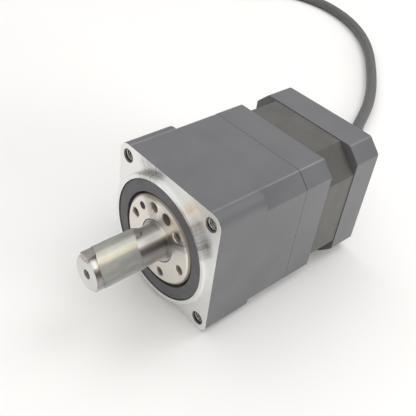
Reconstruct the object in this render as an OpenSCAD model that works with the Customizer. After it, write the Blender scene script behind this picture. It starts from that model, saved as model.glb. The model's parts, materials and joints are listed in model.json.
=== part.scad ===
// Inline planetary gear reducer with its built-in stepping motor.
// The output shaft points along -Y and +Z is up. The origin is on the shaft's axis, in the plane of
// the mounting face: the pilot, the flange and the shaft have negative Y, everything else positive.

/* [Housing] */
// Width and height of the square frame
frame_w = 60; // [59:0.5:61]
// Radius of the gear case's front corners
corner_r = 5; // [4:0.5:6]
// Length of the front section with round corners
front_len = 23; // [21:0.5:25]
// Corner flat of the gear case behind its front section
case_chamfer = 6; // [5:0.25:6.5]
// Radius of the long edges of gear case and motor bracket
edge_r = 0.9; // [0.5:0.1:1.2]
// Radius of the long edges of the rear cover
cover_edge_r = 2; // [1:0.25:2.5]
// Y of the seam between gear case and motor bracket
bracket_y = 45.5; // [45.5:0.25:46]
// Y of the stator's front face
stator_y = 60.3; // [60:0.1:60.6]
// Y of the stator's rear face
cover_y = 76.9; // [76.5:0.1:77.2]
// Y of the rear face of the motor
rear_y = 91.4; // [91:0.1:92]

/* [Mounting face] */
// Distance between the corner holes, across and up
hole_pitch = 49.5; // [48.5:0.25:50]
// Diameter of the corner holes' thread
hole_d = 5; // [4:0.5:5.5]
// Depth of the corner holes
hole_depth = 10; // [6:1:12]
// Diameter of the pilot boss
pilot_d = 56; // [55:0.5:57]
// Height of the pilot boss
pilot_h = 3; // [2.5:0.25:3.5]

/* [Output] */
// Diameter of the output shaft
shaft_d = 15; // [14:0.25:15]
// Length of the shaft in front of the flange
shaft_len = 32; // [30:1:34]
// Width of the shaft key
key_w = 5; // [4:0.5:5]
// Height of the shaft key
key_h = 3; // [2.5:0.25:3.5]
// Length of the shaft key
key_len = 25; // [20:1:26]
// How far the key stands above the shaft
key_proud = 1.1; // [0.8:0.1:1.4]
// Direction of the key, seen from the front
key_angle = 102; // [90:1:114]
// Bolt circle of the output flange
flange_pcd = 30; // [29:0.5:30]
// Diameter of the output flange's threads
flange_hole_d = 4; // [3:0.5:4]

/* [Gears] */
// Module of all the teeth
gear_module = 0.55; // [0.5:0.01:0.55]
// Face width of the planet gears
gear_face = 12; // [10:0.5:12]

/* [Cable] */
// Diameter of the motor cable
cable_d = 7; // [6:0.5:7]

/* [Hidden] */

$fn = 96;
small_fn = 32;
cut = 0.5; // how far a cutting solid passes the face that it cuts
half_w = frame_w / 2;
hole_edge = 0.45;

// Output shaft and flange
flange_face_y = -pilot_h - 0.2;
shaft_r = shaft_d / 2;
shaft_tip_y = flange_face_y - shaft_len;
tip_chamfer = 0.6;
collar_r = 9;
collar_step = 0.75;
collar_groove = 0.35;
collar_groove_depth = 0.9;
collar_back_y = 9;
flange_r = 19.5;
flange_edge = 1.3;
flange_back_y = 4.4;
hub_r = 17;
hub_back_y = 21;
key_back_y = shaft_tip_y + key_len;
key_top_r = shaft_r + key_proud;
key_bottom_r = key_top_r - key_h;
flange_hole_depth = 7;
flange_hole_edge = 0.45;
dowel_angle = 72;
dowel_d = 5;
plug_angle = 132;
plug_r = 1.7;
plug_depth = 4;
centre_hole_r = 1.25;
centre_hole_depth = 9;
centre_cone_r = 2.1;
film_t = 0.25;
film_front_y = shaft_tip_y + 5;
film_back_y = key_back_y - 2.4;

// Front seal
seal_r = 26;
seal_front_y = -pilot_h + 0.4;
seal_back_y = 2.4;
seal_floor_y = 2.6;
lip_r = flange_r + 0.07;

// Crossed-roller bearing
bearing_y = 4.6;
bearing_len = 11;
bearing_mid_y = bearing_y + bearing_len / 2;
bearing_back_y = bearing_y + bearing_len;
bearing_bore_r = 27;
roller_circle_r = 22;
roller_d = 4.2;
roller_l = 4;
roller_gap = 0.06;
rollers = 28;
race_half = roller_d / 2 + roller_gap;
race_gap = 0.4;

// Gear stage
sun_teeth = 18;
planet_teeth = 27;
ring_teeth = sun_teeth + 2 * planet_teeth;
planet_circle_r = gear_module * (sun_teeth + planet_teeth) / 2;
planets = 3;
pressure_angle = 20;
backlash = 0.09;
washer_t = 0.6;
gear_y = hub_back_y + washer_t + 0.2;
gear_back_y = gear_y + gear_face;
carrier_y = gear_back_y + washer_t + 0.4;
carrier_t = 4;
carrier_back_y = carrier_y + carrier_t;
carrier_r = 18.4;
pillar_circle_r = 14.3;
pillar_r = 3.4;
pin_r = 2.5;
needle_d = 1.5;
needles = 12;
needle_gap = 0.03;
planet_bore_r = pin_r + needle_d + 2 * needle_gap;
ring_y = bearing_back_y + 4.8;
ring_back_y = gear_back_y + 1.6;
ring_pin_angle = 20;

// Motor
spigot_y = ring_back_y + 0.4;
spigot_r = bearing_bore_r - 0.05;
bracket_chamfer = 5.8;
cover_chamfer = 6.2;
stator_inset = 0.35;
stator_chamfer = 11;
screw_pitch = 44;
screw_r = 2;
screw_head_r = 3.5;
screw_head_h = 4;
stator_bore_r = 16;
slot_in_r = 18.5;
slot_out_r = 25.5;
cavity_r = 25.5;
poles = 8;
pole_w = 7;
pole_teeth = 5;
rotor_teeth = 50;
rotor_r = stator_bore_r - 0.25;
tooth_depth = 0.7;
magnet_t = 2.4;
motor_shaft_r = 4;
front_bearing = [46.5, 7, 4, 11, 7, 1.98];    // y, width, bore r, outer r, balls, ball r
rear_bearing = [82.8, 6, 3, 9.5, 7, 1.7];
stator_mid_y = (stator_y + cover_y) / 2;
stator_len = cover_y - stator_y;
board_y = 83.4;
board_t = 1.6;
cable_x = 0;
cable_z = -17.5;
cable_r = cable_d / 2;
grommet_hole_r = 5.2;
grommet_tip_y = rear_y + 12;

// The cable's route: out of the grommet, down to the table, then along it to the connector
route = [
    [0, 89, -17.5], [0, 97, -17.5], [0, 105, -17.6], [-1, 113, -18.6], [-3, 121, -20.5],
    [-6, 129, -22.8], [-10, 137.5, -24.8], [-14, 146, -26], [-19, 155, -26.5], [-24, 163.5, -26.5],
    [-29.5, 171.5, -26.5], [-34.5, 179.5, -26.5], [-40, 191, -26.5], [-47, 205, -26.5],
    [-55.5, 219, -26.5], [-65, 232.5, -26.5], [-78, 249, -26.5], [-95, 268.5, -26.5],
    [-113, 285, -26.5], [-133, 298, -26.5], [-155, 306.5, -26.5], [-178, 309, -26.5],
    [-199, 304, -26.5], [-215, 293, -26.5], [-225, 279, -26.5]
];
cable_sides = 12;
steps_per_span = 2;
connector_size = [19, 24, 11.5];
table_z = -half_w;

// ---- Helpers ----------------------------------------------------------------------------------

// Children stand on the plane y = y_back and grow towards the front
module along_axis(y_back) {
    translate([0, y_back, 0])
        rotate([90, 0, 0])
            children();
}

// A disc or a ring about the output axis
module ring(y_front, y_back, outer, inner = 0) {
    along_axis(y_back)
        difference() {
            cylinder(h = y_back - y_front, r = outer);
            if (inner > 0)
                translate([0, 0, -cut])
                    cylinder(h = y_back - y_front + 2 * cut, r = inner);
        }
}

// A cylinder parallel to the axis at x, z
module bar(y_front, y_back, r, x = 0, z = 0) {
    along_axis(y_back)
        translate([x, z, 0])
            cylinder(h = y_back - y_front, r = r, $fn = small_fn);
}

// A cone or cylinder parallel to the axis, with its own radius at each end
module taper(y_front, y_back, r_front, r_back, x = 0, z = 0) {
    along_axis(y_back)
        translate([x, z, 0])
            cylinder(h = y_back - y_front, r1 = r_back, r2 = r_front, $fn = small_fn);
}

// A body of revolution about the axis from [radius, y] points
module turned(profile) {
    rotate([90, 0, 0])
        rotate_extrude()
            polygon([for (p = profile) [p[0], -p[1]]]);
}

// Square section with flats across its corners, clockwise from the top right one
function chamfered(half, flat) = [
    [half - flat, half], [half, half - flat], [half, flat - half], [half - flat, -half],
    [flat - half, -half], [-half, flat - half], [-half, half - flat], [flat - half, half]
];

// The same with its eight corners rounded to radius r
function rounded_section(half, flat, r, steps = 4) =
    let (centres = chamfered(half - r, flat - (2 - sqrt(2)) * r))
    [for (i = [0:7], s = [0:steps])
        let (a = 90 - 45 * (i + s / steps))
        centres[i] + r * [cos(a), sin(a)]];

module flat_block(y_front, y_back, half, flat, r) {
    along_axis(y_back)
        linear_extrude(height = y_back - y_front)
            polygon(rounded_section(half, flat, r));
}

module round_block(y_front, y_back, half, r) {
    along_axis(y_back)
        linear_extrude(height = y_back - y_front)
            union() {
                square([2 * half, 2 * (half - r)], center = true);
                square([2 * (half - r), 2 * half], center = true);
                for (x = [-1, 1], z = [-1, 1])
                    translate([x * (half - r), z * (half - r)])
                        circle(r = r);
            }
}

// Children at the four corners of a square of the given pitch
module at_corners(pitch) {
    for (x = [-1, 1], z = [-1, 1])
        translate([x * pitch / 2, 0, z * pitch / 2])
            children();
}

// Children turned about the output axis; angles are seen from the front, from +X to +Z
module turn(angle) {
    rotate([0, -angle, 0])
        children();
}

// ---- Gear teeth -------------------------------------------------------------------------------

function involute(angle) = tan(angle) * 180 / PI - angle;

// Half the angle that a tooth of z teeth takes at radius r
function tooth_half(z, r, slack) =
    let (pitch_r = gear_module * z / 2)
    let (base_r = pitch_r * cos(pressure_angle))
    90 / z - slack / 2 / pitch_r * 180 / PI + involute(pressure_angle)
    - (r > base_r ? involute(acos(base_r / r)) : 0);

// Outline of z teeth from r_low to r_high, a tooth centred on +Y of the drawing
function gear_outline(z, r_low, r_high, slack, steps = 3) =
    let (radii = [for (i = [0:steps]) r_low + (r_high - r_low) * i / steps])
    [for (t = [0:z - 1])
        for (side = [1, -1])
            for (i = [0:steps])
                let (r = side > 0 ? radii[i] : radii[steps - i])
                let (a = 90 + 360 / z * -t + side * tooth_half(z, r, slack))
                [r * cos(a), r * sin(a)]];

module toothed(y_front, y_back, z, add, ded, slack) {
    along_axis(y_back)
        linear_extrude(height = y_back - y_front)
            polygon(gear_outline(
                z, gear_module * (z / 2 - ded), gear_module * (z / 2 + add), slack));
}

// ---- Ball bearings ----------------------------------------------------------------------------

function ball_circle(b) = (b[2] + b[3]) / 2;
race_play = 0.05;
shoulder = 0.55; // how far each ring stays from the ball circle, in ball radii

module groove(b) {
    along_axis(b[0] + b[1] / 2)
        rotate_extrude()
            translate([ball_circle(b), 0])
                circle(r = b[5] + race_play, $fn = small_fn);
}

module bearing_ring(b, inner, outer) {
    difference() {
        ring(b[0], b[0] + b[1], outer, inner);
        groove(b);
    }
}

module bearing_balls(b, r) {
    for (i = [0:b[4] - 1])
        turn(90 + 360 / b[4] * i)
            translate([ball_circle(b), b[0] + b[1] / 2, 0])
                sphere(r = r, $fn = small_fn);
}

cage_half = 0.55;
ball_play = 0.04;

// A crown: its pockets are open at the front, and its back joins them
module bearing_cage(b) {
    mid = b[0] + b[1] / 2;
    color("khaki")
        difference() {
            ring(mid - 0.5 * b[5], mid + b[5] + 0.5,
                ball_circle(b) + cage_half, ball_circle(b) - cage_half);
            for (i = [0:b[4] - 1])
                turn(90 + 360 / b[4] * i)
                    translate([ball_circle(b), mid, 0])
                        rotate([0, 90, 0])
                            cylinder(h = 4 * cage_half, r = b[5] + ball_play, center = true);
        }
}

// ---- Gear case and what is fixed in it ---------------------------------------------------------

module gear_case() {
    color("dimgray")
        difference() {
            union() {
                round_block(0, front_len, half_w, corner_r);
                flat_block(front_len, bracket_y, half_w, case_chamfer, edge_r);
                turned([
                    [0, 1], [0, -pilot_h], [pilot_d / 2 - 0.5, -pilot_h],
                    [pilot_d / 2, -pilot_h + 0.5], [pilot_d / 2, 1]
                ]);
            }
            ring(-pilot_h - cut, seal_floor_y, seal_r);
            ring(seal_floor_y - cut, bearing_y + cut, seal_r - 1.6);
            ring(bearing_y, bracket_y + cut, bearing_bore_r);
            at_corners(hole_pitch) {
                bar(-cut, hole_depth, hole_d / 2);
                taper(-0.01, hole_edge, hole_d / 2 + 1.4 * hole_edge, hole_d / 2);
            }
            at_corners(screw_pitch)
                bar(bracket_y - 10, bracket_y + cut, screw_r);
            for (i = [0:3])
                turn(ring_pin_angle + 90 * i)
                    bar(ring_back_y - 10, ring_back_y + cut, 1.5, bearing_bore_r, 0);
        }
}

module output_seal() {
    color("darkslategray")
        turned([
            [20.5, seal_front_y], [25.5, seal_front_y], [seal_r, seal_front_y + 0.5],
            [seal_r, seal_back_y], [25.1, seal_back_y], [25.1, -1.2], [21.9, -1.2], [21.5, 0],
            [21.3, 2], [20.3, 2], [lip_r, 0.7], [20.2, -0.9], [20.5, -1.4]
        ]);
}

module seal_spring() {
    color("silver")
        along_axis(0.9)
            rotate_extrude()
                translate([22, 0])
                    circle(r = 0.42, $fn = small_fn);
}

// Square section ring whose V groove takes the rollers
module vee() {
    along_axis(bearing_mid_y)
        rotate_extrude()
            translate([roller_circle_r, 0])
                rotate(45)
                    square(2 * race_half, center = true);
}

module bearing_outer_ring() {
    color("lightsteelblue")
        difference() {
            ring(bearing_y, bearing_back_y, bearing_bore_r - 0.02, roller_circle_r + race_gap);
            vee();
        }
}

module bearing_inner_ring() {
    color("lightsteelblue")
        difference() {
            ring(bearing_y, bearing_back_y, roller_circle_r - race_gap, hub_r + 0.02);
            vee();
        }
}

module crossed_rollers() {
    color("silver")
        for (i = [0:rollers - 1])
            turn(360 / rollers * i)
                translate([roller_circle_r, bearing_mid_y, 0])
                    rotate([0, 0, i % 2 == 0 ? 45 : -45])
                        rotate([90, 0, 0])
                            cylinder(h = roller_l, r = roller_d / 2, center = true, $fn = small_fn);
}

module bearing_retainer() {
    color("gray")
        difference() {
            ring(bearing_back_y + 0.05, bearing_back_y + 4.4, bearing_bore_r - 0.02, 24);
            for (i = [0:3])
                turn(90 * i)
                    bar(bearing_back_y + 2.4, bearing_back_y + 4.4 + cut, 1.1, 25.4, 0);
        }
}

module ring_gear() {
    color("slategray")
        difference() {
            ring(ring_y, ring_back_y, bearing_bore_r - 0.02);
            toothed(ring_y - cut, ring_back_y + cut, ring_teeth, 1.25, 1, -backlash);
            for (i = [0:3])
                turn(ring_pin_angle + 90 * i)
                    bar(ring_back_y - 10, ring_back_y + cut, 1.5, bearing_bore_r, 0);
        }
}

module ring_gear_pins() {
    color("silver")
        for (i = [0:3])
            turn(ring_pin_angle + 90 * i)
                bar(ring_back_y - 9.8, ring_back_y - 0.2, 1.48, bearing_bore_r, 0);
}

o_ring_r = 0.75;
o_ring_circle_r = spigot_r - o_ring_r;
o_ring_y = 43.2;

module case_o_ring() {
    color("black")
        along_axis(o_ring_y)
            rotate_extrude()
                translate([o_ring_circle_r, 0])
                    circle(r = o_ring_r, $fn = small_fn);
}

// ---- What turns with the output shaft ----------------------------------------------------------

module output_flange() {
    color("tan")
        difference() {
            union() {
                turned([
                    [0, flange_face_y], [flange_r - flange_edge, flange_face_y],
                    [flange_r - 0.3, flange_face_y + 0.8], [flange_r, flange_face_y + 1.3],
                    [flange_r, flange_back_y], [hub_r, flange_back_y], [hub_r, hub_back_y],
                    [0, hub_back_y]
                ]);
                for (i = [0:planets - 1])
                    turn(30 + 120 * i)
                        bar(hub_back_y - 1, carrier_y, pillar_r, pillar_circle_r, 0);
            }
            ring(flange_face_y - cut, collar_back_y, collar_r);
            ring(flange_face_y - cut, flange_face_y + collar_groove_depth, collar_r + collar_groove);
            for (i = [0:5])
                turn(key_angle + 60 * i) {
                    bar(flange_face_y - cut, flange_face_y + flange_hole_depth,
                        flange_hole_d / 2, flange_pcd / 2, 0);
                    taper(flange_face_y - 0.01, flange_face_y + flange_hole_edge,
                        flange_hole_d / 2 + flange_hole_edge, flange_hole_d / 2, flange_pcd / 2, 0);
                }
            turn(dowel_angle)
                bar(flange_face_y - cut, flange_face_y + flange_hole_depth,
                    dowel_d / 2, flange_pcd / 2, 0);
            turn(plug_angle)
                bar(flange_face_y - cut, flange_face_y + plug_depth, plug_r, flange_pcd / 2, 0);
            for (i = [0:planets - 1]) {
                turn(90 + 120 * i)
                    bar(hub_back_y - 8, hub_back_y + cut, pin_r, planet_circle_r, 0);
                turn(30 + 120 * i)
                    bar(carrier_y - 9, carrier_y + cut, 1.5, pillar_circle_r, 0);
            }
        }
}

// A bar from the shaft's tip, square at the front and round at the back
module key_bar(width, height, length, extra = 0) {
    turn(key_angle)
        translate([key_bottom_r, shaft_tip_y, 0]) {
            translate([0, -extra, -width / 2])
                cube([height, length - width / 2 + extra, width]);
            translate([0, length - width / 2, 0])
                rotate([0, 90, 0])
                    cylinder(h = height, d = width);
        }
}

module output_shaft() {
    color("silver")
        difference() {
            turned([
                [0, shaft_tip_y], [shaft_r - tip_chamfer, shaft_tip_y],
                [shaft_r, shaft_tip_y + tip_chamfer], [shaft_r, flange_face_y - collar_step],
                [shaft_r + collar_step, flange_face_y - collar_step],
                [shaft_r + collar_step, flange_face_y - 0.2],
                [collar_r - 0.3, flange_face_y - 0.2], [collar_r - 0.02, flange_face_y + 0.1],
                [collar_r - 0.02, collar_back_y - 0.1], [0, collar_back_y - 0.1]
            ]);
            key_bar(key_w, 2 * key_h, key_len, 1);
            bar(shaft_tip_y - cut, shaft_tip_y + centre_hole_depth, centre_hole_r);
            taper(shaft_tip_y - 0.01, shaft_tip_y + 0.9, centre_cone_r, centre_hole_r);
        }
}

module shaft_key() {
    play = 0.01;
    color("rosybrown")
        key_bar(key_w - 2 * play, key_h, key_len - 2 * play);
}

// The film lies on the shaft and is drawn tight over the key, along the tangents from its corners
module film_section(gap) {
    r = shaft_r + gap;
    top = key_top_r + gap;
    side = key_w / 2 + gap;
    reach = norm([top, side]);
    corner_angle = atan2(side, top);
    touch_angle = corner_angle + acos(r / reach);
    circle(r = r);
    polygon([
        [0, 0], [r * cos(-touch_angle), r * sin(-touch_angle)], [top, -side],
        [top, side], [r * cos(touch_angle), r * sin(touch_angle)]
    ]);
}

module shaft_film() {
    color([0.85, 0.85, 0.6, 0.5])
        turn(key_angle)
            along_axis(film_back_y)
                linear_extrude(height = film_back_y - film_front_y)
                    difference() {
                        film_section(film_t + 0.02);
                        film_section(0.02);
                    }
}

module flange_plug() {
    color("gray")
        turn(plug_angle)
            bar(flange_face_y + 0.1, flange_face_y + plug_depth - 0.2, plug_r - 0.01, flange_pcd / 2, 0);
}

module inner_ring_nut() {
    color("gray")
        difference() {
            ring(bearing_back_y + 0.05, bearing_back_y + 3.6, 20.6, hub_r + 0.02);
            for (i = [0:3])
                turn(45 + 90 * i)
                    bar(bearing_back_y + 1.6, bearing_back_y + 3.6 + cut, 1.1, 18.8, 0);
        }
}

module carrier_plate() {
    color("steelblue")
        difference() {
            ring(carrier_y + 0.02, carrier_back_y, carrier_r, 7);
            for (i = [0:planets - 1]) {
                turn(90 + 120 * i)
                    bar(carrier_y - cut, carrier_back_y + cut, pin_r, planet_circle_r, 0);
                turn(30 + 120 * i) {
                    bar(carrier_y - cut, carrier_back_y + cut, 1.6, pillar_circle_r, 0);
                    bar(carrier_back_y - 2.4, carrier_back_y + cut, 3, pillar_circle_r, 0);
                }
            }
        }
}

// A socket cap screw along the axis, its head at the back
module cap_screw(tip_y, head_y, head_h, r, head_r, socket_r) {
    difference() {
        union() {
            bar(tip_y, head_y + 0.1, r);
            bar(head_y, head_y + head_h, head_r);
        }
        along_axis(head_y + head_h + cut)
            cylinder(h = head_h / 2 + cut, r = socket_r, $fn = 6);
    }
}

module carrier_screws() {
    color("dimgray")
        for (i = [0:planets - 1])
            turn(30 + 120 * i)
                translate([pillar_circle_r, 0, 0])
                    cap_screw(carrier_y - 8, carrier_back_y - 2.38, 2.3, 1.47, 2.75, 1.4);
}

module planet_pins() {
    color("silver")
        for (i = [0:planets - 1])
            turn(90 + 120 * i)
                bar(hub_back_y - 7.9, carrier_back_y, pin_r - 0.01, planet_circle_r, 0);
}

module planet_washers() {
    color("goldenrod")
        for (i = [0:planets - 1])
            turn(90 + 120 * i)
                translate([planet_circle_r, 0, 0]) {
                    ring(hub_back_y + 0.05, hub_back_y + 0.05 + washer_t, 5.5, pin_r + 0.02);
                    ring(carrier_y - 0.05 - washer_t, carrier_y - 0.05, 5.5, pin_r + 0.02);
                }
}

// ---- Planet and sun gears ----------------------------------------------------------------------

module planet_gear(i) {
    color("lightslategray")
        turn(120 * i)
            translate([0, 0, planet_circle_r])
                difference() {
                    toothed(gear_y, gear_back_y, planet_teeth, 1, 1.25, backlash);
                    ring(gear_y - cut, gear_back_y + cut, planet_bore_r);
                }
}

module planet_needles(i) {
    color("silver")
        turn(120 * i)
            translate([0, 0, planet_circle_r])
                for (n = [0:needles - 1])
                    turn(360 / needles * n)
                        bar(gear_y + 0.3, gear_back_y - 0.3, needle_d / 2,
                            pin_r + needle_gap + needle_d / 2, 0);
}

sun_seat_r = 2.5;
sun_back_y = gear_back_y + 2.2;

module sun_gear() {
    color("lightslategray")
        difference() {
            union() {
                toothed(gear_y, gear_back_y, sun_teeth, 1, 1.25, backlash);
                ring(gear_back_y - 0.01, sun_back_y, 4.2);
            }
            ring(gear_y - cut, sun_back_y + cut, sun_seat_r);
        }
}

// ---- Motor -------------------------------------------------------------------------------------

module motor_shaft() {
    color("silver")
        turned([
            [0, gear_y + 0.4], [2, gear_y + 0.4], [sun_seat_r - 0.01, gear_y + 0.9],
            [sun_seat_r - 0.01, sun_back_y + 0.1], [motor_shaft_r - 0.01, sun_back_y + 0.1],
            [motor_shaft_r - 0.01, rear_bearing[0] - 0.4], [rear_bearing[2] - 0.01, rear_bearing[0] - 0.4],
            [rear_bearing[2] - 0.01, rear_bearing[0] + rear_bearing[1]],
            [rear_bearing[2] - 0.4, rear_bearing[0] + rear_bearing[1] + 0.4],
            [0, rear_bearing[0] + rear_bearing[1] + 0.4]
        ]);
}

module front_bracket() {
    web_y = spigot_y + 4.4;
    color("dimgray")
        difference() {
            union() {
                flat_block(bracket_y + 0.02, stator_y - 0.02, half_w, bracket_chamfer, edge_r);
                ring(spigot_y, bracket_y + 1, spigot_r);
            }
            ring(spigot_y - cut, web_y, 22);
            ring(web_y - cut, web_y + 4, 9);
            ring(web_y, front_bearing[0] + cut, 5.2);
            ring(front_bearing[0], stator_y + cut, front_bearing[3]);
            difference() {
                ring(front_bearing[0] + front_bearing[1] - 1.5, stator_y + cut, cavity_r);
                ring(front_bearing[0], front_bearing[0] + front_bearing[1], 13.5);
            }
            along_axis(o_ring_y + 0.9)
                difference() {
                    cylinder(h = 1.8, r = bearing_bore_r + 1);
                    translate([0, 0, -cut])
                        cylinder(h = 1.8 + 2 * cut, r = spigot_r - 2 * o_ring_r);
                }
            at_corners(screw_pitch)
                bar(bracket_y - cut, stator_y + cut, screw_r + 0.2);
        }
}

module input_seal() {
    web_y = spigot_y + 4.4;
    color("black")
        turned([
            [motor_shaft_r + 0.03, web_y + 2.2], [4.6, web_y + 1.2], [4.9, web_y + 0.2],
            [8.98, web_y + 0.2], [8.98, web_y + 3.9], [8.2, web_y + 3.9], [8.2, web_y + 1],
            [5.6, web_y + 1], [5.3, web_y + 3], [4.7, web_y + 3]
        ]);
}

module stator_core() {
    half = half_w - stator_inset;
    color("rosybrown")
        along_axis(cover_y)
            linear_extrude(height = stator_len)
                difference() {
                    polygon(chamfered(half, stator_chamfer));
                    circle(r = stator_bore_r);
                    difference() {
                        circle(r = slot_out_r);
                        circle(r = slot_in_r);
                        for (i = [0:poles - 1])
                            rotate(360 / poles * i)
                                translate([0, -pole_w / 2])
                                    square([slot_out_r + 1, pole_w]);
                    }
                    for (i = [0:poles - 1])
                        rotate(360 / poles * (i + 0.5))
                            translate([stator_bore_r - 1, -1.1])
                                square([slot_in_r - stator_bore_r + 1.5, 2.2]);
                    for (i = [0:poles - 1], t = [0.5:1:pole_teeth - 1.5])
                        rotate(360 / poles * i + 360 / rotor_teeth * (t - (pole_teeth - 1) / 2))
                            translate([stator_bore_r - 1, -0.5])
                                square([1 + tooth_depth, 1]);
                    for (x = [-1, 1], z = [-1, 1])
                        translate([x * screw_pitch / 2, z * screw_pitch / 2])
                            circle(r = screw_r + 0.2);
                }
}

bobbin_wall = 0.6;
coil_t = 2.7;
pole_play = 0.1;

// A frame round one pole: inner size from the pole, then the thickness of the wall
module pole_frame(r_in, r_out, inside, wall) {
    for (i = [0:poles - 1])
        turn(360 / poles * i)
            translate([(r_in + r_out) / 2, stator_mid_y, 0])
                difference() {
                    cube([r_out - r_in, stator_len + 2 * (inside + wall),
                        pole_w + 2 * (inside + wall)], center = true);
                    cube([r_out - r_in + 2 * cut, stator_len + 2 * inside,
                        pole_w + 2 * inside], center = true);
                }
}

module coil_bobbins() {
    color("ivory")
        pole_frame(slot_in_r + 0.4, slot_out_r - 0.5, pole_play, bobbin_wall);
}

module stator_coils() {
    color("chocolate")
        pole_frame(slot_in_r + 1, slot_out_r - 1.3, pole_play + bobbin_wall + 0.02, coil_t);
}

module rotor_cup(y_front, y_back, phase) {
    root_r = rotor_r - tooth_depth;
    tooth_half_angle = 1.6;
    color("slategray")
        along_axis(y_back)
            linear_extrude(height = y_back - y_front)
                difference() {
                    polygon([
                        for (t = [0:rotor_teeth - 1])
                            for (p = [
                                [root_r, -tooth_half_angle], [rotor_r, -tooth_half_angle],
                                [rotor_r, tooth_half_angle], [root_r, tooth_half_angle]
                            ])
                                let (a = 360 / rotor_teeth * (t + phase) + p[1])
                                [p[0] * cos(a), p[0] * sin(a)]
                    ]);
                    circle(r = motor_shaft_r);
                }
}

module rotor_cup_front() {
    rotor_cup(stator_y + 0.2, stator_mid_y - magnet_t / 2 - 0.02, 0);
}

module rotor_cup_rear() {
    rotor_cup(stator_mid_y + magnet_t / 2 + 0.02, cover_y - 0.2, 0.5);
}

module rotor_magnet() {
    color("black")
        ring(stator_mid_y - magnet_t / 2, stator_mid_y + magnet_t / 2, rotor_r - 1.2, motor_shaft_r);
}

module front_bearing_outer() {
    color("lightsteelblue")
        bearing_ring(front_bearing, ball_circle(front_bearing) + shoulder * front_bearing[5],
            front_bearing[3] - 0.01);
}

module front_bearing_inner() {
    color("lightsteelblue")
        bearing_ring(front_bearing, motor_shaft_r,
            ball_circle(front_bearing) - shoulder * front_bearing[5]);
}

module rear_bearing_outer() {
    color("lightsteelblue")
        bearing_ring(rear_bearing, ball_circle(rear_bearing) + shoulder * rear_bearing[5],
            rear_bearing[3] - 0.01);
}

module rear_bearing_inner() {
    color("lightsteelblue")
        bearing_ring(rear_bearing, rear_bearing[2],
            ball_circle(rear_bearing) - shoulder * rear_bearing[5]);
}

module front_bearing_balls() {
    color("silver")
        bearing_balls(front_bearing, front_bearing[5]);
}

module rear_bearing_balls() {
    color("silver")
        bearing_balls(rear_bearing, rear_bearing[5]);
}

rear_wall_y = rear_y - 2.6;
rear_hub_r = 11.2;
standoff_x = 18.5;

module rear_cover() {
    seat_back_y = rear_bearing[0] + rear_bearing[1] + 1;
    color("dimgray")
        difference() {
            flat_block(cover_y + 0.02, rear_y, half_w, cover_chamfer, cover_edge_r);
            difference() {
                ring(cover_y - cut, rear_wall_y, cavity_r);
                ring(rear_bearing[0] - 0.6, rear_y, rear_hub_r);
                for (side = [-1, 1])
                    bar(board_y + board_t, rear_y, 2.6, side * standoff_x, 0);
            }
            ring(rear_bearing[0] - 2, seat_back_y, rear_bearing[3]);
            for (side = [-1, 1])
                bar(board_y, board_y + board_t + 4, 1.1, side * standoff_x, 0);
            bar(rear_wall_y - cut, rear_y + cut, grommet_hole_r, cable_x, cable_z);
            at_corners(screw_pitch) {
                bar(cover_y - cut, rear_y - screw_head_h, screw_r + 0.2);
                bar(rear_y - screw_head_h - 0.4, rear_y + cut, screw_head_r + 0.2);
            }
        }
}

module wave_washer() {
    back_y = rear_bearing[0] + rear_bearing[1];
    color("silver")
        ring(back_y + 0.15, back_y + 0.85, rear_bearing[3] - 0.3, 6.6);
}

module terminal_board() {
    color("darkgreen")
        difference() {
            ring(board_y, board_y + board_t - 0.02, 24.6, 13);
            for (side = [-1, 1])
                bar(board_y - cut, board_y + board_t + cut, 1.2, side * standoff_x, 0);
        }
}

module board_screws() {
    color("silver")
        for (side = [-1, 1])
            translate([side * standoff_x, 0, 0])
                mirror([0, 1, 0])
                    translate([0, -2 * board_y, 0])
                        cap_screw(board_y - 5, board_y + 0.02, 1.3, 1.08, 2, 0.9);
}

module motor_screws() {
    seat_y = rear_y - screw_head_h - 0.38;
    color("dimgray")
        at_corners(screw_pitch)
            cap_screw(bracket_y - 9.5, seat_y, screw_head_h - 0.2, screw_r - 0.02,
                screw_head_r, 1.7);
}

module cable_grommet() {
    bore_r = cable_r + 0.15;
    color("black")
        translate([cable_x, 0, cable_z])
            turned([
                [bore_r, rear_wall_y - 1.2], [6, rear_wall_y - 1.2], [6, rear_wall_y - 0.02],
                [grommet_hole_r - 0.02, rear_wall_y - 0.02], [grommet_hole_r - 0.02, rear_y + 0.02],
                [6.4, rear_y + 0.02], [6.4, rear_y + 1.6], [5.6, rear_y + 2.4],
                [4.5, grommet_tip_y], [bore_r, grommet_tip_y]
            ]);
}

// ---- Cable and connector -----------------------------------------------------------------------

// A point of the smooth curve through four route points
function on_curve(a, b, c, d, t) =
    0.5 * (2 * b + (c - a) * t + (2 * a - 5 * b + 4 * c - d) * t * t
    + (3 * b - a - 3 * c + d) * t * t * t);

function smooth(points, steps) =
    let (last = len(points) - 1)
    concat(
        [for (i = [0:last - 1], s = [0:steps - 1])
            on_curve(points[max(i - 1, 0)], points[i], points[i + 1], points[min(i + 2, last)],
                s / steps)],
        [points[last]]
    );

function unit(v) = v / norm(v);

function heading(points, i) =
    unit(points[min(i + 1, len(points) - 1)] - points[max(i - 1, 0)]);

function ring_points(centre, along, r, sides) =
    let (across = unit(cross(along, [0, 0, 1])))
    let (up = cross(across, along))
    [for (s = [0:sides - 1])
        centre + r * (cos(360 / sides * s) * across + sin(360 / sides * s) * up)];

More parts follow.
